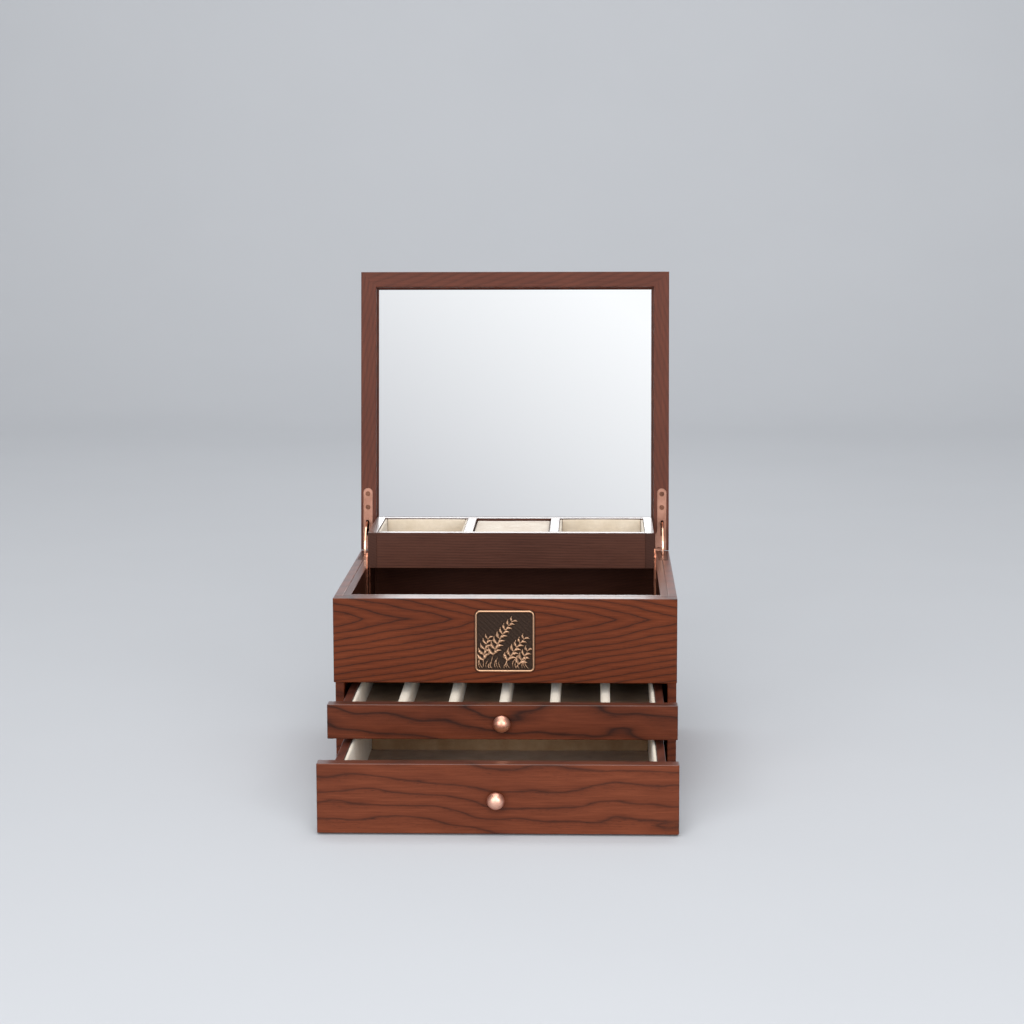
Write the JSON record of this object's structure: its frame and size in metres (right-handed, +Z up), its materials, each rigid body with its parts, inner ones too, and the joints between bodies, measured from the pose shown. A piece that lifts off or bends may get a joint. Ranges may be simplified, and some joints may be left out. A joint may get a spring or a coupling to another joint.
{
  "type": "jewelry box",
  "caption": "Wooden jewelry box with a mirrored hinged lid, a lifting lined tray and two sliding lined drawers, shown open.",
  "frame": {"origin": "centre of the case's underside, on the surface it rests on", "axes": "+Z up, -Y towards the drawer fronts, +X to the right as seen from the front"},
  "size_m": [0.2809, 0.4477, 0.4136],
  "materials": {
    "case_wood": "reddish-brown stained ash, satin lacquer",
    "drawer_front_wood": "reddish-brown stained ash, satin lacquer",
    "lid_wood": "reddish-brown stained ash, satin lacquer",
    "tray_wood": "dark brown straight-grained, satin lacquer",
    "inner_wood": "dark brown, satin",
    "cream_velvet": "short cream velvet over padded card",
    "dark_felt": "dark brown felt",
    "mirror": "silvered glass with a ground bevel",
    "copper": "polished copper plate",
    "knob_copper": "polished copper plate",
    "antique_bronze": "antiqued copper, rubbed bright on the high points"
  },
  "bodies": {
    "case": {"side_board_left": "case_wood", "side_board_right": "case_wood", "back_board": "case_wood", "base_board": "inner_wood", "drawer_web": "inner_wood", "compartment_floor": "inner_wood", "front_panel": "case_wood", "liner_left": "inner_wood", "liner_right": "inner_wood", "liner_front": "inner_wood", "liner_back": "inner_wood", "compartment_felt": "dark_felt", "base_felt": "dark_felt", "drawer_guides": "inner_wood", "plaque": "antique_bronze", "box_hinge_leaf_left": "copper", "box_hinge_leaf_right": "copper", "box_leaf_screws": "copper", "hinge_pins": "copper", "case_arm_pins": "copper"},
    "lid": {"lid_stile_left": "lid_wood", "lid_stile_right": "lid_wood", "lid_rail_front": "lid_wood", "lid_rail_rear": "lid_wood", "lid_panel": "lid_wood", "mirror": "mirror", "mirror_backing": "inner_wood", "lid_hinge_leaf_left": "copper", "lid_hinge_leaf_right": "copper", "lid_leaf_screws": "copper"},
    "hinge_stays": {"hinge_stay_left": "copper", "hinge_stay_right": "copper"},
    "front_arms": {"front_arm_left": "copper", "front_arm_right": "copper"},
    "rear_arms": {"rear_arm_left": "copper", "rear_arm_right": "copper"},
    "tray": {"tray_front": "tray_wood", "tray_back": "tray_wood", "tray_end_left": "tray_wood", "tray_end_right": "tray_wood", "tray_bottom": "tray_wood", "tray_dividers": "tray_wood", "tray_linings": "cream_velvet", "ring_cushion": "cream_velvet", "tray_arm_pins": "copper"},
    "upper_drawer": {"upper_drawer_front": "drawer_front_wood", "upper_drawer_side_left": "inner_wood", "upper_drawer_side_right": "inner_wood", "upper_drawer_back": "inner_wood", "upper_drawer_bottom": "inner_wood", "upper_drawer_lining": "cream_velvet", "upper_drawer_dividers": "cream_velvet", "upper_knob": "knob_copper"},
    "lower_drawer": {"lower_drawer_front": "drawer_front_wood", "lower_drawer_side_left": "inner_wood", "lower_drawer_side_right": "inner_wood", "lower_drawer_back": "inner_wood", "lower_drawer_bottom": "inner_wood", "lower_drawer_lining": "cream_velvet", "lower_knob": "knob_copper"}
  },
  "joints": [
    {"name": "lid_hinge", "type": "hinge", "parent": "case", "child": "lid", "pos_m": [0, 0.1265, 0.1628], "axis": [1, 0, 0], "range_deg": [0, 97.4]},
    {"name": "stay_swing", "type": "hinge", "parent": "case", "child": "hinge_stays", "pos_m": [0, 0.1265, 0.1628], "axis": [1, 0, 0], "range_deg": [0, 63.5]},
    {"name": "front_arm_swing", "type": "hinge", "parent": "case", "child": "front_arms", "pos_m": [0, 0.02557, 0.11608], "axis": [1, 0, 0], "range_deg": [0, 68.4]},
    {"name": "rear_arm_swing", "type": "hinge", "parent": "case", "child": "rear_arms", "pos_m": [0, 0.05157, 0.11608], "axis": [1, 0, 0], "range_deg": [0, 68.4]},
    {"name": "tray_level", "type": "hinge", "parent": "front_arms", "child": "tray", "pos_m": [0, 0.0285, 0.172], "axis": [1, 0, 0], "range_deg": [-68.4, 0]},
    {"name": "upper_drawer_slide", "type": "slide", "parent": "case", "child": "upper_drawer", "axis": [0, -1, 0], "range_m": [-0.0555, 0.12]},
    {"name": "lower_drawer_slide", "type": "slide", "parent": "case", "child": "lower_drawer", "axis": [0, -1, 0], "range_m": [-0.1292, 0.05]}
  ],
  "couplings": [
    {"joint": "stay_swing", "follows": "lid_hinge", "ratio": 0.65},
    {"joint": "front_arm_swing", "follows": "lid_hinge", "ratio": 0.7},
    {"joint": "rear_arm_swing", "follows": "lid_hinge", "ratio": 0.7},
    {"joint": "tray_level", "follows": "lid_hinge", "ratio": -0.7}
  ]
}
